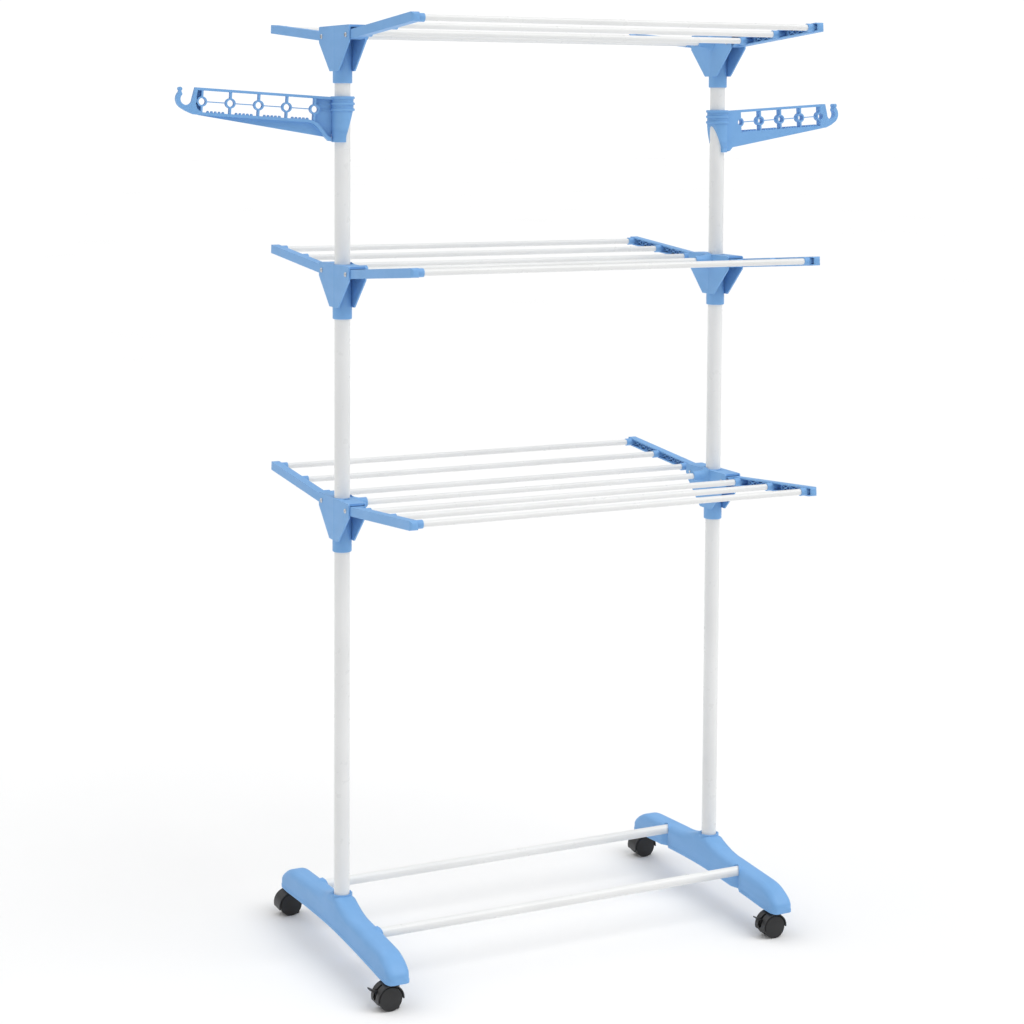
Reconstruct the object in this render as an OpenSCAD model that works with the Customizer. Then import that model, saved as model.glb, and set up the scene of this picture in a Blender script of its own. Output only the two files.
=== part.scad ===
// Free-standing three-tier clothes drying rack on castors.
// Two posts stand on arched feet. Each tier has a fixed crossbar and two wings of
// three rods that fold down. A swivel hanger for clothes hangers turns on each post.
// X runs along the rods, Y runs front (-) to back (+), Z is up, floor at Z = 0.

/* [Frame] */
// Distance between the two post axes
post_spacing = 770; // [600:1:1000]
// Outside diameter of the posts
post_d = 28; // [22:0.5:36]
// Wall of the post tubes
post_wall = 0.8; // [0.6:0.1:2]
// Height of the lowest crossbar above the floor
low_tier_z = 826; // [600:1:1000]
// Height from one tier to the next
tier_pitch = 416; // [350:1:500]
// Diameter of the hanging rods and crossbars
rod_d = 11; // [8:0.5:13]
// Diameter of the two tubes between the feet
base_tube_d = 18; // [14:0.5:22]
// Height of the base tube axes
base_tube_z = 88; // [84:1:92]
// Distance of each base tube from the middle
base_tube_y = 133; // [110:1:150]

/* [Wings] */
// Distance of each wing pivot from the post axis
pivot_y = 58; // [52:1:70]
// Drop of the pivot axis below the crossbar
pivot_drop = 2; // [0:0.5:4]
// Distance from the pivot to the first rod
first_rod = 41; // [36:1:60]
// Distance from one rod to the next
rod_pitch = 112; // [80:0.5:140]
// Upward tilt of the opened wings
wing_tilt = 4.5; // [0:0.5:6]
// Height of a wing arm
arm_h = 16; // [15:0.5:20]

/* [Hangers] */
// Height of the left swivel ring above the floor
left_hanger_z = 1524; // [1480:1:1560]
// Height of the right swivel ring above the floor
right_hanger_z = 1504; // [1480:1:1560]
// Angle of both hangers behind the line through the posts
hanger_turn = 6; // [0:1:30]
// Upward slope of the hanger arms
hanger_rise = 3.5; // [0:0.5:6]
// Distance between the ring holes
ring_pitch = 50; // [40:1:60]

/* [Feet] */
// Distance of each castor stem from the middle
castor_y = 243; // [200:1:280]
// Half length of a foot
foot_half = 268; // [230:1:300]
// Width of a foot
foot_w = 44; // [40:1:60]
// Top of the foot at the post
foot_top = 117; // [110:1:125]

/* [Castors] */
// Wheel diameter
wheel_d = 42; // [35:0.5:44]
// Distance of the axle behind the stem
trail = 12; // [10:0.5:16]

/* [Hidden] */
$fn = 64;
post_x = post_spacing / 2;
post_r = post_d / 2;
fit = 0.05;
run = 0.06;
tiers = [low_tier_z, low_tier_z + tier_pitch, low_tier_z + 2 * tier_pitch];
cheek_in = post_r;
cheek_t = 2.7;
cheek_out = cheek_in + cheek_t;
collar_r = cheek_out + 0.5;
bracket_down = 85;
bracket_up = 12;
cap_up = 15.5;
cheek_y = pivot_y + 14;
tube_stop = 29;
boss_end = 46;
screw_r = 2.5;
boss_r = rod_d / 2 + 3.5;
arm_out = cheek_in - 0.4;
arm_root = cheek_in - 1;
arm_in = 2;
root_end = 22;
socket_end = 14.2;
socket_depth = 12;
socket_r = rod_d / 2 + 1.8;
arm_wall = 2.4;
arm_end = first_rod + 2 * rod_pitch + socket_r + 8.7;
rib_start = socket_r + 20;
rib_cell = (rod_pitch - socket_r - rib_start) / 3;
rib_top = arm_in - 4;
rod_half = post_x - socket_end + socket_depth - 0.2;
rod_wall = 0.5;
bar_half = post_x - boss_end + 20;
hanger_t = 12;
web_t = 2;
wheel_r = wheel_d / 2;
wheel_w = 12;
web_half = 4;
hood_in = wheel_r + 1.3;
hood_out = wheel_r + 3.6;
hood_half = 15.5;
stem_r = 4;
hood_top = wheel_r + hood_out;
foot_bottom = hood_top + 2.4;
foot_arch = 10;
foot_side_top = 90;
blue = [0.40, 0.62, 0.90];
white = [0.93, 0.94, 0.95];
black = [0.09, 0.09, 0.10];
steel = [0.72, 0.73, 0.75];

// ---------- feet ----------

// Height of the foot's upper edge at distance y from the middle.
function foot_rise(y) =
  let(a = abs(y), k = foot_side_top + 9, t = max(0, a - foot_half + 58) / 58)
  a < 18 ? foot_top :
  a < 100 ? foot_top - (foot_top - k) * (1 - pow(1 - (a - 18) / 82, 2)) :
  k - 9 * (a - 100) / (foot_half - 100) - 14 * (1 - sqrt(max(0, 1 - t * t))) - 15 * t * t;

// Height of the foot's lower edge.
function foot_low(y) = foot_bottom + foot_arch * (1 - pow(min(1, abs(y) / 225), 1.6));

// Half width of the foot, round at both ends in plan.
function foot_half_w(y) =
  let(a = abs(y), r = 16)
  a < foot_half - r ? foot_w / 2 : 12 + (foot_w / 2 - 12) * sqrt(max(0, 1 - pow((a - foot_half + r) / r, 2)));

// One cross-section ring of the foot, flat below, round on top, with a narrow lower lip.
function foot_ring(y) =
  let(
    w = foot_half_w(y),
    z0 = foot_low(y),
    z1 = foot_rise(y),
    e = min(13, (z1 - z0) * 0.45, w - 2)
  )
  concat(
    [[-w, y, z0], [-w, y, z0 + 5], [-w + 0.9, y, z0 + 6]],
    [for (i = [0:7]) let(t = 180 - i * 90 / 7) [-w + 0.9 + e + e * cos(t), y, z1 - e + e * sin(t)]],
    [for (i = [0:7]) let(t = 90 - i * 90 / 7) [w - 0.9 - e + e * cos(t), y, z1 - e + e * sin(t)]],
    [[w - 0.9, y, z0 + 6], [w, y, z0 + 5], [w, y, z0]]
  );

// One ring of the hollow inside, which runs out through the underside.
function hollow_ring(y) =
  let(w = foot_half_w(y) - 3.2, z1 = foot_rise(y) - 3, e = min(11, z1 - 52))
  [
    [-w, y, 30], [-w, y, z1 - e], [-w + 0.3 * e, y, z1 - 0.3 * e], [-w + e, y, z1],
    [w - e, y, z1], [w - 0.3 * e, y, z1 - 0.3 * e], [w, y, z1 - e], [w, y, 30],
  ];

// Positions of the rings along one half of the foot.
foot_half_stations = concat(
  [0, 9, 18],
  [for (y = [26:9:107]) y],
  [for (t = [0.14:0.14:1]) 107 + (foot_half - 58 - 107) * t],
  [for (t = [0.1:0.1:0.9]) foot_half - 56 + 56 * t],
  [for (t = [0.95, 0.98, 1]) foot_half - 56 + 56 * t]
);
hollow_half_stations = concat(
  [0, 18],
  [for (y = [36:12:108]) y],
  [for (t = [0.5, 1]) 108 + (foot_half - 164) * t],
  [foot_half - 44, foot_half - 34, foot_half - 27.3]
);
function mirrored(half) = concat([for (i = [len(half) - 1:-1:1]) -half[i]], half);

// Skin through rings of points, one ring after the other along Y.
module loft(rings) {
  n = len(rings[0]);
  m = len(rings);
  sides = [for (i = [0:m - 2]) for (j = [0:n - 1])
    let(a = i * n + j, b = i * n + (j + 1) % n)
    each [[a, b + n, b], [a, a + n, b + n]]];
  first = [for (j = [0:n - 1]) j];
  last = [for (j = [n - 1:-1:0]) (m - 1) * n + j];
  polyhedron(points = [for (r = rings) each r], faces = concat([first], sides, [last]), convexity = 6);
}

// A foot with its inner side towards +X: a shell open below, with solid seats for the tubes.
module foot() {
  color(blue)
  difference() {
    union() {
      loft([for (y = mirrored(foot_half_stations)) foot_ring(y)]);
      translate([0, 0, 70]) cylinder(h = foot_top + 2 - 70, r = post_r + 5);
      // bosses that stand out a little around the base tubes
      for (s = [-1, 1])
        translate([0, s * base_tube_y, base_tube_z]) rotate([0, 90, 0]) {
          cylinder(h = 12, r1 = base_tube_d / 2 - 2, r2 = base_tube_d / 2 + 3.2);
          translate([0, 0, 11.9]) cylinder(h = foot_w / 2 - 13, r = base_tube_d / 2 + 3.2);
        }
    }
    difference() {
      loft([for (y = mirrored(hollow_half_stations)) hollow_ring(y)]);
      translate([0, 0, 20]) cylinder(h = 120, r = post_r + 4);
      for (s = [-1, 1]) {
        translate([-8, s * base_tube_y - 20, 20]) cube([60, 40, 120]);
        translate([0, s * castor_y, 20]) cylinder(h = 120, r = 9);
      }
      translate([-40, -1.5, 20]) cube([80, 3, 120]);
    }
    translate([0, 0, 64]) cylinder(h = 80, r = post_r + fit);
    translate([0, 0, foot_top + 0.4]) cylinder(h = 10, r = post_r + 1.5);
    translate([-30, -2, foot_top + 0.4]) cube([60, 4, 10]);
    for (s = [-1, 1]) {
      translate([-6.2, s * base_tube_y, base_tube_z]) rotate([0, 90, 0]) cylinder(h = 60, r = base_tube_d / 2 + fit);
      translate([foot_w / 2, s * base_tube_y, 0]) linear_extrude(130) polygon([[0.5, -16], [0.5, 16], [-7, 0]]);
      translate([0, s * castor_y, 0]) cylinder(h = 72, r = stem_r + fit);
    }
  }
}

module left_foot() { translate([-post_x, 0, 0]) foot(); }
module right_foot() { translate([post_x, 0, 0]) mirror([1, 0, 0]) foot(); }

// ---------- tubes ----------

module tube_x(half, d, wall) {
  rotate([0, 90, 0])
  difference() {
    translate([0, 0, -half]) cylinder(h = 2 * half, r = d / 2);
    translate([0, 0, -half - 1]) cylinder(h = 2 * half + 2, r = d / 2 - wall);
  }
}

module base_tube(s) {
  color(white) translate([0, s * base_tube_y, base_tube_z]) tube_x(post_x + 6, base_tube_d, post_wall);
}
module front_base_tube() { base_tube(-1); }
module back_base_tube() { base_tube(1); }

module post(s, z0, z1) {
  color(white)
  translate([s * post_x, 0, z0])
  difference() {
    cylinder(h = z1 - z0, r = post_r);
    translate([0, 0, -1]) cylinder(h = z1 - z0 + 2, r = post_r - post_wall);
  }
}
module low_post(s) { post(s, 64.2, tiers[0] - tube_stop - 1); }
module mid_post(s) { post(s, tiers[0] - tube_stop + 1, tiers[1] - tube_stop - 1); }
module top_post(s) { post(s, tiers[1] - tube_stop + 1, tiers[2] + bracket_up - 2.2); }
module left_low_post() { low_post(-1); }
module left_mid_post() { mid_post(-1); }
module left_top_post() { top_post(-1); }
module right_low_post() { low_post(1); }
module right_mid_post() { mid_post(1); }
module right_top_post() { top_post(1); }

// ---------- tier brackets ----------

module cheek_outline(top) {
  polygon([
    [-cheek_y, -12.5], [-cheek_y, top - 2], [-cheek_y + 2, top], [cheek_y - 2, top], [cheek_y, top - 2],
    [cheek_y, -12.5], [collar_r + 3, -64], [-collar_r - 3, -64],
  ]);
}

// A bracket with the inner side towards +X. A closed one caps the top of its post.
module bracket(closed) {
  top = closed ? cap_up : bracket_up;
  color(blue)
  difference() {
    union() {
      translate([0, 0, -bracket_down]) cylinder(h = 1, r1 = collar_r - 1, r2 = collar_r);
      translate([0, 0, -bracket_down + 1]) cylinder(h = bracket_down + top - 1, r = collar_r);
      for (x = [-cheek_out, cheek_in])
        translate([x, 0, 0]) rotate([90, 0, 90]) linear_extrude(cheek_t) cheek_outline(top);
      translate([-cheek_out, -cheek_y + 2, top - 4]) cube([2 * cheek_out, 2 * cheek_y - 4, 4]);
      for (s = [-1, 1])
        translate([-cheek_in, s * 36 - 1.2, -2]) cube([2 * cheek_in, 2.4, top]);
      // socket that holds the crossbar, flared where it leaves the cheek
      rotate([0, 90, 0]) cylinder(h = boss_end, r = boss_r);
      translate([cheek_out - 0.1, 0, 0]) rotate([0, 90, 0]) cylinder(h = 7, r1 = boss_r + 6.4, r2 = boss_r + 2.2);
      translate([cheek_out + 6.9, 0, 0]) rotate([0, 90, 0]) cylinder(h = 9, r1 = boss_r + 2.2, r2 = boss_r);
    }
    if (closed) {
      translate([0, 0, -bracket_down - 1]) cylinder(h = bracket_down + bracket_up - 1, r = post_r + fit);
    } else {
      translate([0, 0, -bracket_down - 1]) cylinder(h = bracket_down - tube_stop + 0.8, r = post_r + fit);
      translate([0, 0, -tube_stop + 0.2]) cylinder(h = 80, r = post_r + fit);
      translate([0, 0, -tube_stop - 2]) cylinder(h = 6, r = post_r - 2);
      for (s = [-1, 1]) translate([-6, s * 22.5 - 4, 0]) cube([12, 8, 40]);
    }
    translate([boss_end - 20.2, 0, 0]) rotate([0, 90, 0]) cylinder(h = 30, r = rod_d / 2 + fit);
    for (s = [-1, 1])
      translate([-30, s * pivot_y, -pivot_drop]) rotate([0, 90, 0]) cylinder(h = 60, r = screw_r + fit);
  }
}
module place_bracket(s, i) {
  translate([s * post_x, 0, tiers[i]]) mirror([s > 0 ? 1 : 0, 0, 0]) bracket(i == 2);
}
module left_low_bracket() { place_bracket(-1, 0); }
module left_mid_bracket() { place_bracket(-1, 1); }
module left_top_bracket() { place_bracket(-1, 2); }
module right_low_bracket() { place_bracket(1, 0); }
module right_mid_bracket() { place_bracket(1, 1); }
module right_top_bracket() { place_bracket(1, 2); }

module crossbar(i) { color(white) translate([0, 0, tiers[i]]) tube_x(bar_half, rod_d, rod_wall); }
module low_crossbar() { crossbar(0); }
module mid_crossbar() { crossbar(1); }
module top_crossbar() { crossbar(2); }

// Screw that pins a wing arm between the cheeks, head outside, with a cross recess.
module pivot_screw() {
  translate([-cheek_out - 2, 0, 0]) rotate([0, 90, 0])
  difference() {
    union() {
      cylinder(h = 0.9, r1 = 3.4, r2 = 4.3);
      translate([0, 0, 0.9]) cylinder(h = 1.1, r = 4.3);
      translate([0, 0, 2]) cylinder(h = 2 * cheek_out + 2, r = screw_r);
    }
    for (a = [0, 90]) rotate([0, 0, a]) translate([-2.6, -0.5, -1]) cube([5.2, 1, 2.1]);
  }
}
module pivot_screws() {
  color(steel)
  for (s = [-1, 1]) for (i = [0:2]) for (e = [-1, 1])
    translate([s * post_x, e * pivot_y, tiers[i] - pivot_drop])
      mirror([s > 0 ? 1 : 0, 0, 0]) pivot_screw();
}

// ---------- wings ----------

// Arm with its pivot at the origin, running along +Y, channel open towards +X.
module arm_body() {
  h = arm_h / 2;
  channel_h = arm_h - 2 * arm_wall;
  floor_x = arm_wall - arm_out;
  difference() {
    union() {
      rotate([0, 90, 0]) translate([0, 0, -arm_out]) cylinder(h = arm_out + arm_root, r = h);
      translate([0, 0, -h]) linear_extrude(arm_h) arm_plan();
      for (k = [0:2]) translate([0, first_rod + k * rod_pitch, 0]) rotate([0, 90, 0])
        cylinder(h = socket_end, r = socket_r);
    }
    // channel, with the sockets and the ribbed blocks left standing in it
    difference() {
      translate([floor_x, root_end + 2.4, -channel_h / 2]) cube([60, arm_end - root_end - 4.8, channel_h]);
      for (k = [0:2]) translate([floor_x - 1, first_rod + k * rod_pitch, 0]) rotate([0, 90, 0])
        cylinder(h = 61, r = socket_r);
      for (k = [0:1]) translate([floor_x - 1, first_rod + k * rod_pitch + rib_start - 0.7, -h])
        cube([rib_top - floor_x + 1, rod_pitch - rib_start, arm_h]);
    }
    for (k = [0:1]) for (j = [0:2])
      translate([floor_x, first_rod + k * rod_pitch + rib_start + (j + 0.5) * rib_cell, 0])
        rotate([90, 0, 90]) linear_extrude(60) rib_windows(channel_h / 2 - 0.3);
    for (k = [0:2]) translate([socket_end - socket_depth, first_rod + k * rod_pitch, 0]) rotate([0, 90, 0])
      cylinder(h = 30, r = rod_d / 2 + fit);
    rotate([0, 90, 0]) translate([0, 0, -40]) cylinder(h = 80, r = screw_r + run);
    // pocket in the pivot block
    translate([2, 11, -channel_h / 2]) cube([30, 8, channel_h]);
    // soft upper and lower corner of the tip
    for (m = [0, 1]) mirror([0, 0, m]) translate([-30, arm_end, h]) rotate([90, 0, 90]) linear_extrude(60)
      polygon([[-6, 0.5], [-3, -0.8], [-0.8, -3], [0.5, -6], [2, -6], [2, 2], [-6, 2]]);
  }
}

// Plan of an arm, wide at the pivot and round at the tip.
module arm_plan() {
  translate([-arm_out, 0]) square([arm_out + arm_root, root_end]);
  translate([-arm_out, 0]) square([arm_out + arm_in, arm_end - 6]);
  translate([6 - arm_out, arm_end - 8]) square([arm_out + arm_in - 12, 8]);
  for (x = [6 - arm_out, arm_in - 6]) translate([x, arm_end - 6]) circle(r = 6);
}

// Four triangular windows that leave a cross and half of the uprights around a cell.
module rib_windows(half_h) {
  slope = (half_h + 0.3) / (rib_cell / 2);
  gap = 0.78;
  side_h = (rib_cell / 2 - 0.7) * slope - gap;
  top_w = (half_h - gap) / slope;
  for (m = [0, 1]) {
    mirror([m, 0]) polygon([[0.7 - rib_cell / 2, -side_h], [-gap / slope, 0], [0.7 - rib_cell / 2, side_h]]);
    mirror([0, m]) polygon([[0, gap], [top_w, half_h], [-top_w, half_h]]);
  }
}

// Arm on side s (-1 left, 1 right) at end e (-1 front, 1 back) of tier i.
module place_arm(s, i, e) {
  color(blue)
  translate([s * post_x, e * pivot_y, tiers[i] - pivot_drop])
    mirror([s > 0 ? 1 : 0, 0, 0]) mirror([0, e < 0 ? 1 : 0, 0])
      rotate([wing_tilt, 0, 0]) arm_body();
}
module wing_rods(i, e) {
  color(white)
  translate([0, e * pivot_y, tiers[i] - pivot_drop])
    mirror([0, e < 0 ? 1 : 0, 0]) rotate([wing_tilt, 0, 0])
      for (k = [0:2]) translate([0, first_rod + k * rod_pitch, 0]) tube_x(rod_half, rod_d, rod_wall);
}
module low_front_left_arm() { place_arm(-1, 0, -1); }
module low_front_right_arm() { place_arm(1, 0, -1); }
module low_front_rods() { wing_rods(0, -1); }
module low_back_left_arm() { place_arm(-1, 0, 1); }
module low_back_right_arm() { place_arm(1, 0, 1); }
module low_back_rods() { wing_rods(0, 1); }
module mid_front_left_arm() { place_arm(-1, 1, -1); }
module mid_front_right_arm() { place_arm(1, 1, -1); }
module mid_front_rods() { wing_rods(1, -1); }
module mid_back_left_arm() { place_arm(-1, 1, 1); }
module mid_back_right_arm() { place_arm(1, 1, 1); }
module mid_back_rods() { wing_rods(1, 1); }
module top_front_left_arm() { place_arm(-1, 2, -1); }
module top_front_right_arm() { place_arm(1, 2, -1); }
module top_front_rods() { wing_rods(2, -1); }
module top_back_left_arm() { place_arm(-1, 2, 1); }
module top_back_right_arm() { place_arm(1, 2, 1); }
module top_back_rods() { wing_rods(2, 1); }

// ---------- swivel hangers ----------

// Side view of the hanger arm: X outwards from the post axis, Y up from the top edge.
module slab(y0, t) { translate([0, y0 + t, 0]) rotate([90, 0, 0]) linear_extrude(t) children(); }

module hanger_lower_rail() {
  last = 5 * ring_pitch;
  polygon([
    [last + 4, -42], [60, -42], [51, -43.5], [43, -47.6], [36, -54], [30, -61.5], [24, -68], [17, -72],
    [17, -77.6], [22, -77], [30, -69.6], [38, -60.4], [45, -53], [52, -48.6], [60, -47], [last + 4, -47],
  ]);
}

module hanger_top_rail() {
  last = 5 * ring_pitch;
  polygon([
    [14, 0], [last + 13, 0], [last + 17.2, -21], [last + 17.2, -28], [last + 12, -28],
    [last + 8.6, -4.5], [14, -4.5],
  ]);
}

module hanger_teeth() {
  for (k = [1:4]) for (j = [1:5]) {
    x = k * ring_pitch + 5 + j * (ring_pitch - 10) / 6;
    polygon([[x - 2, -42.2], [x + 2, -42.2], [x + 0.8, -39], [x - 0.8, -39]]);
  }
}

module hanger_hook() {
  last = 5 * ring_pitch;
  cx = last + 27.4;
  difference() {
    union() {
      translate([cx, -21]) circle(r = 18);
      polygon([[last, -47], [last + 14, -46.4], [cx, -41.5], [cx + 8.5, -36.8], [cx, -21], [last + 12, -24], [last + 8, -36], [last, -42]]);
    }
    translate([cx, -21]) circle(r = 10.3);
    polygon([[cx, -21], [cx + 24, 2], [cx + 24, 20], [cx - 40, 20], [cx - 40, 0.5], [cx - 14.4, 0.5], [cx - 10.3, -21]]);
  }
  // neck and round lip of the hook
  polygon([[cx + 8, -15], [cx + 14.4, -10.6], [cx + 13, -7.2], [cx + 13.6, -4], [cx + 9.4, -4], [cx + 9.6, -7.6], [cx + 7.6, -12.6]]);
  translate([cx + 11.6, -4.4]) circle(r = 3.5);
}

module hanger_web() {
  last = 5 * ring_pitch;
  // plate beside the shell, wedge below the lower rail, plate behind the hook
  difference() {
    polygon([[15, -3], [ring_pitch + 2, -3], [ring_pitch + 2, -43], [52, -44], [43, -50], [30, -65], [20, -75], [15, -75]]);
    translate([ring_pitch, -23.5]) circle(r = 6);
  }
  polygon([[24, -73], [33, -64], [41, -56], [50, -48], [60, -45], [last + 4, -45], [last + 4, -47.2], [28, -70.6]]);
  difference() {
    polygon([[last, -3], [last + 10, -3], [last + 14, -26], [last + 22, -36], [last + 16, -44], [last, -44]]);
    translate([last, -23.5]) circle(r = 6);
  }
}

// Hanger with its post axis on Z, arm towards +X, ring standing on Z = 0.
module hanger() {
  half = hanger_t / 2;
  color(blue)
  difference() {
    union() {
      // ring with three bands
      cylinder(h = 26, r = post_r + 5.4);
      for (z = [0, 10.5, 21]) {
        translate([0, 0, z]) cylinder(h = 1, r1 = post_r + 6.4, r2 = post_r + 7.6);
        translate([0, 0, z + 1]) cylinder(h = 3, r = post_r + 7.6);
        translate([0, 0, z + 4]) cylinder(h = 1, r1 = post_r + 7.6, r2 = post_r + 6.4);
      }
      // half shell below the ring
      intersection() {
        union() {
          translate([0, 0, -54.5]) cylinder(h = 55, r = post_r + 5.4);
          for (z = [-37, -45]) translate([0, 0, z]) cylinder(h = 1.6, r = post_r + 6.2);
        }
        rotate([90, 0, 0]) translate([0, 0, -40]) linear_extrude(80)
          polygon([[-16, 1], [40, 1], [40, -60], [-1, -60], [-1.5, -44]]);
      }
      translate([0, 0, 25]) rotate([0, -hanger_rise, 0]) translate([0, 0, -1.6]) {
        slab(-half, hanger_t) hanger_top_rail();
        slab(-half, hanger_t) hanger_lower_rail();
        slab(-half, hanger_t) hanger_hook();
        slab(-half + 1, hanger_t - 2) hanger_teeth();
        slab(-half, web_t) hanger_web();
        for (k = [1:5]) translate([k * ring_pitch, 0, -23.5]) {
          rotate([90, 0, 0]) cylinder(h = hanger_t - 1, r = 8.8, center = true);
          for (z = [6.5, -19.2]) translate([-1.7, -half + 0.5, z]) cube([3.4, hanger_t - 1, 13.2]);
        }
        for (k = [1:4]) translate([k * ring_pitch + 7, -1.5, -24.4]) cube([ring_pitch - 14, 3, 1.8]);
        translate([17, -half, -24.4]) cube([26, 4, 1.8]);
      }
    }
    translate([0, 0, -70]) cylinder(h = 120, r = post_r + run);
    translate([0, 0, 25]) rotate([0, -hanger_rise, 0]) translate([0, 0, -1.6])
      for (k = [1:5]) translate([k * ring_pitch, 0, -23.5]) rotate([90, 0, 0]) cylinder(h = 40, r = 6, center = true);
  }
}
module left_hanger() { translate([-post_x, 0, left_hanger_z]) rotate([0, 0, 180 - hanger_turn]) hanger(); }
module right_hanger() { translate([post_x, 0, right_hanger_z]) rotate([0, 0, hanger_turn]) hanger(); }

// ---------- castors ----------

module castor_at(x, y) { translate([x * post_x, y * castor_y, 0]) children(); }
module at_axle() { translate([-trail, 0, wheel_r]) rotate([90, 0, 0]) children(); }

module castor_stems() {
  color(steel)
  for (x = [-1, 1]) for (y = [-1, 1]) castor_at(x, y) {
    translate([0, 0, 30]) cylinder(h = 41, r = stem_r);
    translate([0, 0, hood_top + 0.4]) cylinder(h = 1.2, r = 7.5);
  }
}

// Hood over both wheels with a middle web and a boss for the stem.
module castor_hood(braked) {
  color(black)
  difference() {
    union() {
      at_axle() linear_extrude(2 * hood_half, center = true)
        difference() {
          circle(r = hood_out);
          circle(r = hood_in);
          polygon([[0, 0], [60, -4], [60, -60], [-60, -60], [-60, -17]]);
        }
      // web between the wheels
      at_axle() linear_extrude(2 * web_half, center = true)
        difference() {
          circle(r = hood_in + 0.5);
          polygon([[4, -9], [60, -9], [60, -60], [-60, -60], [-60, -22], [-8, -9]]);
        }
      // boss for the stem
      intersection() {
        cylinder(h = hood_top - 0.3, r = 9);
        at_axle() linear_extrude(40, center = true) difference() {
          circle(r = 60);
          circle(r = hood_in);
        }
      }
    }
    translate([0, 0, 28]) cylinder(h = 40, r = stem_r + run);
    at_axle() cylinder(h = 60, r = 2.5 + run, center = true);
    if (braked) {
      // slot through the hood and the web for the lever
      at_axle() linear_extrude(11, center = true)
        polygon([[-17.5, 12.5], [-30, 24], [-40, 0], [-hood_in + 0.2, 0], [-hood_in + 2, 7]]);
      at_axle() linear_extrude(5, center = true)
        polygon([[-7, 17], [-12, 24], [-40, 24], [-40, -4], [-7, -2]]);
    }
  }
  if (braked) color(black) at_axle() translate([-13.5, 8.5, 0]) cylinder(h = 7, r = 1.5, center = true);
}

module castor_wheels() {
  color(black)
  at_axle()
  for (s = [-1, 1]) mirror([0, 0, s < 0 ? 1 : 0])
    translate([0, 0, web_half + 0.5])
      rotate_extrude()
        polygon([
          [2.5 + fit, 0], [wheel_r - 1.2, 0], [wheel_r, 1.2], [wheel_r, wheel_w - 2.4], [wheel_r - 0.4, wheel_w - 1.5],
          [wheel_r - 1.3, wheel_w - 1], [wheel_r - 3, wheel_w - 0.8], [wheel_r * 0.6, wheel_w - 0.3],
          [wheel_r * 0.3, wheel_w], [0, wheel_w], [0, wheel_w - 2.4], [2.5 + fit, wheel_w - 2.4],
        ]);
}

module castor_axle() {
  color(steel)
  at_axle() cylinder(h = 2 * (web_half + 0.5 + wheel_w - 2.6), r = 2.5, center = true);
}

// Foot brake: hub between the web's cheeks, tab standing out behind the hood.
module brake_lever() {
  color(black)
  at_axle() translate([-13.5, 8.5, 0]) {
    difference() {
      union() {
        linear_extrude(4.2, center = true) union() {
          circle(r = 3.8);
          polygon([[-1, 3.7], [-9.5, 5.4], [-12, 3.6], [-3, -3]]);
        }
        linear_extrude(9.6, center = true)
          polygon([[-10.6, 5.6], [-12, 2.8], [-17, 6.2], [-22, 9.6], [-22.6, 11.4], [-21, 11.8], [-16, 9.4]]);
      }
      cylinder(h = 20, r = 1.5 + run, center = true);
    }
  }
}

module castor_hood_front_left() { castor_at(-1, -1) castor_hood(true); }
module castor_wheels_front_left() { castor_at(-1, -1) castor_wheels(); }
module castor_axle_front_left() { castor_at(-1, -1) castor_axle(); }
module castor_hood_front_right() { castor_at(1, -1) castor_hood(true); }
module castor_wheels_front_right() { castor_at(1, -1) castor_wheels(); }
module castor_axle_front_right() { castor_at(1, -1) castor_axle(); }
module castor_hood_back_left() { castor_at(-1, 1) castor_hood(false); }
module castor_wheels_back_left() { castor_at(-1, 1) castor_wheels(); }
module castor_axle_back_left() { castor_at(-1, 1) castor_axle(); }
module castor_hood_back_right() { castor_at(1, 1) castor_hood(false); }
module castor_wheels_back_right() { castor_at(1, 1) castor_wheels(); }
module castor_axle_back_right() { castor_at(1, 1) castor_axle(); }
module brake_lever_front_left() { castor_at(-1, -1) brake_lever(); }
module brake_lever_front_right() { castor_at(1, -1) brake_lever(); }

left_foot();
right_foot();
front_base_tube();
back_base_tube();
left_low_post();
left_mid_post();
left_top_post();
right_low_post();
right_mid_post();
right_top_post();
left_low_bracket();
left_mid_bracket();
left_top_bracket();
right_low_bracket();
right_mid_bracket();
right_top_bracket();
low_crossbar();
mid_crossbar();
top_crossbar();
pivot_screws();
low_front_left_arm();
low_front_right_arm();
low_front_rods();
low_back_left_arm();
low_back_right_arm();
low_back_rods();
mid_front_left_arm();
mid_front_right_arm();
mid_front_rods();
mid_back_left_arm();
mid_back_right_arm();
mid_back_rods();
top_front_left_arm();
top_front_right_arm();
top_front_rods();
top_back_left_arm();
top_back_right_arm();
top_back_rods();
left_hanger();
right_hanger();
castor_stems();
castor_hood_front_left();
castor_wheels_front_left();
castor_axle_front_left();
castor_hood_front_right();
castor_wheels_front_right();
castor_axle_front_right();
castor_hood_back_left();
castor_wheels_back_left();
castor_axle_back_left();
castor_hood_back_right();
castor_wheels_back_right();
castor_axle_back_right();
brake_lever_front_left();
brake_lever_front_right();
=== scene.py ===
import math

import bpy
from mathutils import Matrix, Vector


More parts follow.
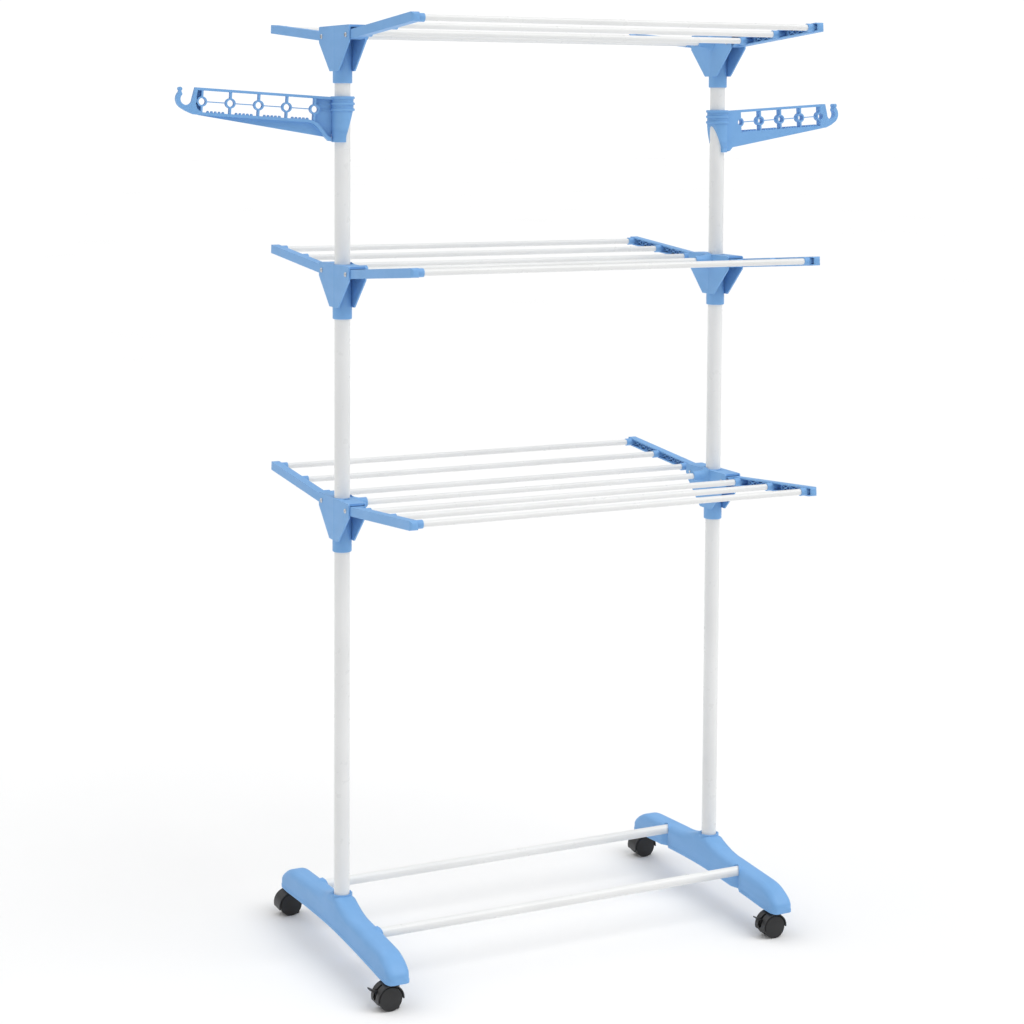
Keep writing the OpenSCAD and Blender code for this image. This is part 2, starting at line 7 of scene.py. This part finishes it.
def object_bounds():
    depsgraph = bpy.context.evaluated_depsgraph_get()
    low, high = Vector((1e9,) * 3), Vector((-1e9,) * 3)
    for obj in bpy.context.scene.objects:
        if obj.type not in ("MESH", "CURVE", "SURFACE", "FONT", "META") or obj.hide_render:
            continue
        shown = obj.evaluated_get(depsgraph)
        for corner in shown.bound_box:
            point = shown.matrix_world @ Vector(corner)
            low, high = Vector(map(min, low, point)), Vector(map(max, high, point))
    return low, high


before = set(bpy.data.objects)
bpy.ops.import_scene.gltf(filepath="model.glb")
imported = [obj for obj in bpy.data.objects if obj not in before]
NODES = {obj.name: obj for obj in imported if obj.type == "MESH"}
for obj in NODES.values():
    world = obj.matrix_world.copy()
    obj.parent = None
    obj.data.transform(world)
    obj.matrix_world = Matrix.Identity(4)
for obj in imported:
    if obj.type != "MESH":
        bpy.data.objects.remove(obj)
cad_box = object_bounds()
scene = bpy.context.scene

# ---------- camera, solved from the photograph ----------

FRAME_PX = 1024.0        # width and height of the frame
SENSOR_MM = 36.0
CLIP_END = 200.0         # metres
CAMERA_AT = Vector((-1.796, -3.569, 1.525))
CAMERA_YAW = 0.4547      # clockwise from +Y, radians
CAMERA_PITCH = -0.0642   # radians, negative looks down
CAMERA_ROLL = 0.0059     # radians
FOCAL_PX = 2169.0
CENTRE_Y_PX = 251.0      # row of the optical centre, from the top


def add_camera():
    data = bpy.data.cameras.new("camera")
    data.sensor_width = SENSOR_MM
    data.sensor_fit = "HORIZONTAL"
    data.lens = SENSOR_MM * FOCAL_PX / FRAME_PX
    data.shift_x = 0.0
    data.shift_y = -(FRAME_PX / 2 - CENTRE_Y_PX) / FRAME_PX
    data.clip_end = CLIP_END
    data.dof.use_dof = False
    cam = bpy.data.objects.new("camera", data)
    scene.collection.objects.link(cam)
    yaw = Matrix.Rotation(-CAMERA_YAW, 4, "Z")
    pitch = Matrix.Rotation(math.pi / 2 + CAMERA_PITCH, 4, "X")
    roll = Matrix.Rotation(CAMERA_ROLL, 4, "Z")
    cam.matrix_world = Matrix.Translation(CAMERA_AT) @ (yaw @ pitch @ roll)
    scene.camera = cam


add_camera()

# ---------- node helpers ----------

NOISE_LOW, NOISE_HIGH = 0.3, 0.7    # the span that a noise mostly fills


def grey(v):
    return (v, v, v, 1.0)


def set_stops(node, *stops):
    """Give a colour ramp its two (position, colour) stops."""
    for i, (position, colour) in enumerate(stops):
        node.color_ramp.elements[i].position = position
        node.color_ramp.elements[i].color = colour


class Graph:
    """Short names for building one node material."""

    def __init__(self, name):
        self.mat = bpy.data.materials.new(name)
        self.mat.use_nodes = True
        self.tree = self.mat.node_tree
        self.tree.nodes.clear()
        self.out = self.add("ShaderNodeOutputMaterial")
        self.shader = self.add("ShaderNodeBsdfPrincipled")
        self.link(self.shader, "BSDF", self.out, "Surface")
        self.coord = self.add("ShaderNodeTexCoord")

    def add(self, kind):
        return self.tree.nodes.new(kind)

    def link(self, a, out, b, into):
        self.tree.links.new(a.outputs[out], b.inputs[into])

    def noise(self, scale, detail, rough, stretch=(1, 1, 1), distortion=0.0):
        mapping = self.add("ShaderNodeMapping")
        mapping.inputs["Scale"].default_value = stretch
        self.link(self.coord, "Object", mapping, "Vector")
        tex = self.add("ShaderNodeTexNoise")
        tex.inputs["Scale"].default_value = scale
        tex.inputs["Detail"].default_value = detail
        tex.inputs["Roughness"].default_value = rough
        tex.inputs["Distortion"].default_value = distortion
        self.link(mapping, "Vector", tex, "Vector")
        return tex

    def colour(self, source, out, dark, light):
        """Base colour that runs between two (position, colour) stops."""
        node = self.add("ShaderNodeValToRGB")
        set_stops(node, dark, light)
        self.link(source, out, node, "Fac")
        self.link(node, "Color", self.shader, "Base Color")

    def gloss(self, source, low, high):
        """Roughness that a noise moves between low and high."""
        node = self.add("ShaderNodeMapRange")
        node.inputs["From Min"].default_value = NOISE_LOW
        node.inputs["From Max"].default_value = NOISE_HIGH
        node.inputs["To Min"].default_value = low
        node.inputs["To Max"].default_value = high
        self.link(source, "Fac", node, "Value")
        self.link(node, "Result", self.shader, "Roughness")

    def relief(self, *layers):
        """Bumps on top of each other, coarse to fine: (noise, strength, distance in metres)."""
        below = None
        for source, strength, distance in layers:
            node = self.add("ShaderNodeBump")
            node.inputs["Strength"].default_value = strength
            node.inputs["Distance"].default_value = distance
            self.link(source, "Fac", node, "Height")
            if below:
                self.link(below, "Normal", node, "Normal")
            below = node
        self.link(below, "Normal", self.shader, "Normal")


# ---------- materials ----------

PLASTIC_IOR = 1.49
COATING_IOR = 1.5
STREAK_SHARE = 0.4      # streaks against clouds in the flow marks
SCUFF_SPAN = 0.12       # how far scuffs move the roughness of plastic


def moulded_plastic(name, dark, light, rough, grain, specular=0.5):
    """Injection-moulded plastic: faint flow marks, satin grain, soft scuffs in the gloss."""
    g = Graph(name)
    clouds = g.noise(9.0, 4.0, 0.6, distortion=0.6)
    streaks = g.noise(30.0, 3.0, 0.5, stretch=(1.0, 0.35, 2.4))
    mixed = g.add("ShaderNodeMix")
    mixed.data_type = "FLOAT"
    mixed.inputs["Factor"].default_value = STREAK_SHARE
    g.link(clouds, "Fac", mixed, "A")
    g.link(streaks, "Fac", mixed, "B")
    g.colour(mixed, "Result", (0.36, (*dark, 1)), (0.64, (*light, 1)))
    scuffs = g.noise(26.0, 5.0, 0.65, distortion=0.3)
    g.gloss(scuffs, rough - SCUFF_SPAN / 2, rough + SCUFF_SPAN / 2)
    fine = g.noise(1500.0, 2.0, 0.5)
    waves = g.noise(38.0, 2.0, 0.4)
    g.relief((waves, 0.35, 0.0006), (fine, grain, 0.00012))
    g.shader.inputs["Specular IOR Level"].default_value = specular
    g.shader.inputs["IOR"].default_value = PLASTIC_IOR
    return g.mat


def powder_coat(name):
    """White powder coating: orange peel, with a soft gloss."""
    g = Graph(name)
    clouds = g.noise(6.0, 3.0, 0.5)
    g.colour(clouds, "Fac", (0.35, (0.80, 0.805, 0.80, 1)), (0.65, (0.845, 0.85, 0.845, 1)))
    g.gloss(g.noise(60.0, 4.0, 0.6), 0.26, 0.36)
    peel = g.noise(420.0, 2.0, 0.45)
    fine = g.noise(1600.0, 1.0, 0.5)
    g.relief((peel, 0.35, 0.00012), (fine, 0.15, 0.00005))
    g.shader.inputs["IOR"].default_value = COATING_IOR
    return g.mat


def plated(name):
    """Zinc-plated steel with fine turning marks."""
    g = Graph(name)
    clouds = g.noise(120.0, 4.0, 0.6)
    g.colour(clouds, "Fac", (0.3, (0.58, 0.59, 0.60, 1)), (0.7, (0.74, 0.75, 0.76, 1)))
    g.shader.inputs["Metallic"].default_value = 1.0
    marks = g.noise(900.0, 3.0, 0.6, stretch=(6.0, 1.0, 1.0))
    g.gloss(marks, 0.2, 0.42)
    g.relief((marks, 0.25, 0.00008))
    return g.mat


BLUE = moulded_plastic(
    "blue_plastic", dark=(0.180, 0.395, 0.720), light=(0.205, 0.430, 0.770),
    rough=0.48, grain=0.35, specular=0.34,
)
WHITE = powder_coat("white_coating")
BLACK = moulded_plastic(
    "black_plastic", dark=(0.013, 0.013, 0.014), light=(0.021, 0.021, 0.023),
    rough=0.42, grain=0.5,
)
WHEEL = moulded_plastic(
    "castor_wheel", dark=(0.010, 0.010, 0.011), light=(0.018, 0.018, 0.019),
    rough=0.50, grain=0.7,
)
STEEL = plated("plated_steel")

# ---------- CAD nodes: material and softened edges ----------

# (part of the node's name, material, width of the softened edge in metres), first match counts
FINISH_OF = [
    ("foot", BLUE, 0.0004),
    ("bracket", BLUE, 0.0007),
    ("arm", BLUE, 0.0008),
    ("hanger", BLUE, 0.0004),
    ("tube", WHITE, 0.0002),
    ("post", WHITE, 0.0002),
    ("crossbar", WHITE, 0.00015),
    ("rods", WHITE, 0.00015),
    ("castor_hood", BLACK, 0.0004),
    ("brake_lever", BLACK, 0.0004),
    ("castor_wheels", WHEEL, 0.0003),
    ("screws", STEEL, 0.00015),
    ("axle", STEEL, 0.0002),
    ("stems", STEEL, 0.0002),
]
WELD_DISTANCE = 0.000002    # metres
EDGE_SEGMENTS = 2
EDGE_ANGLE = math.radians(34)    # only sharper edges are softened
NORMAL_WEIGHT = 60


def finish_of(name):
    for key, material, edge in FINISH_OF:
        if key in name:
            return material, edge
    raise ValueError(name)


def finish_node(obj):
    material, edge = finish_of(obj.name)
    if not obj.data.materials:
        obj.data.materials.append(material)
    for i in range(len(obj.data.materials)):
        obj.data.materials[i] = material
    weld = obj.modifiers.new("weld", "WELD")
    weld.merge_threshold = WELD_DISTANCE
    bevel = obj.modifiers.new("edge", "BEVEL")
    bevel.width = edge
    bevel.segments = EDGE_SEGMENTS
    bevel.limit_method = "ANGLE"
    bevel.angle_limit = EDGE_ANGLE
    bevel.use_clamp_overlap = True
    bevel.miter_outer = "MITER_ARC"
    normals = obj.modifiers.new("normals", "WEIGHTED_NORMAL")
    normals.keep_sharp = False
    normals.weight = NORMAL_WEIGHT


for node in NODES.values():
    finish_node(node)

# ---------- stage: floor, world and two soft suns ----------

FLOOR_HALF = 60.0        # metres
FLOOR_DROP = 0.0002      # metres below the wheels
BACKDROP = 1.05          # brightness of the world that the camera sees
GLOW_BELOW = (0.0, grey(0.36))     # light that the world gives, by height
GLOW_ABOVE = (0.75, grey(0.74))


def floor_material():
    g = Graph("floor")
    clouds = g.noise(0.7, 3.0, 0.5)
    g.colour(clouds, "Fac", (0.3, grey(0.90)), (0.7, grey(0.93)))
    g.shader.inputs["Roughness"].default_value = 0.75
    g.shader.inputs["Specular IOR Level"].default_value = 0.15
    return g.mat


def add_floor():
    mesh = bpy.data.meshes.new("floor")
    r = FLOOR_HALF
    mesh.from_pydata([(-r, -r, 0), (r, -r, 0), (r, r, 0), (-r, r, 0)], [], [(0, 1, 2, 3)])
    obj = bpy.data.objects.new("floor", mesh)
    scene.collection.objects.link(obj)
    obj.location.z = cad_box[0][2] - FLOOR_DROP
    mesh.materials.append(floor_material())


def add_world():
    """A white backdrop for the camera, and a dimmer glow that lights the object."""
    world = bpy.data.worlds.new("studio")
    scene.world = world
    world.use_nodes = True
    tree = world.node_tree
    tree.nodes.clear()
    out = tree.nodes.new("ShaderNodeOutputWorld")
    seen = tree.nodes.new("ShaderNodeBackground")
    seen.inputs["Color"].default_value = grey(1.0)
    seen.inputs["Strength"].default_value = BACKDROP
    glow = tree.nodes.new("ShaderNodeBackground")
    glow.inputs["Strength"].default_value = 1.0
    coord = tree.nodes.new("ShaderNodeTexCoord")
    split = tree.nodes.new("ShaderNodeSeparateXYZ")
    ramp = tree.nodes.new("ShaderNodeValToRGB")
    set_stops(ramp, GLOW_BELOW, GLOW_ABOVE)
    tree.links.new(coord.outputs["Generated"], split.inputs["Vector"])
    tree.links.new(split.outputs["Z"], ramp.inputs["Fac"])
    tree.links.new(ramp.outputs["Color"], glow.inputs["Color"])
    path = tree.nodes.new("ShaderNodeLightPath")
    mix = tree.nodes.new("ShaderNodeMixShader")
    tree.links.new(path.outputs["Is Camera Ray"], mix.inputs["Fac"])
    tree.links.new(glow.outputs["Background"], mix.inputs[1])
    tree.links.new(seen.outputs["Background"], mix.inputs[2])
    tree.links.new(mix.outputs["Shader"], out.inputs["Surface"])


def add_sun(name, strength, size, azimuth, elevation):
    """A sun of an angular size, in degrees, that shines from an azimuth and elevation."""
    data = bpy.data.lights.new(name, "SUN")
    data.energy = strength
    data.angle = math.radians(size)
    obj = bpy.data.objects.new(name, data)
    scene.collection.objects.link(obj)
    a, e = math.radians(azimuth), math.radians(elevation)
    toward = Vector((math.cos(e) * math.cos(a), math.cos(e) * math.sin(a), math.sin(e)))
    obj.rotation_mode = "QUATERNION"
    obj.rotation_quaternion = toward.to_track_quat("Z", "Y")


add_floor()
add_world()
add_sun("key", strength=1.25, size=44, azimuth=-50, elevation=54)
add_sun("fill", strength=0.6, size=60, azimuth=140, elevation=52)
scene.view_settings.view_transform = "Standard"
scene.view_settings.look = "None"
scene.view_settings.exposure = 0.0
scene.view_settings.gamma = 1.0
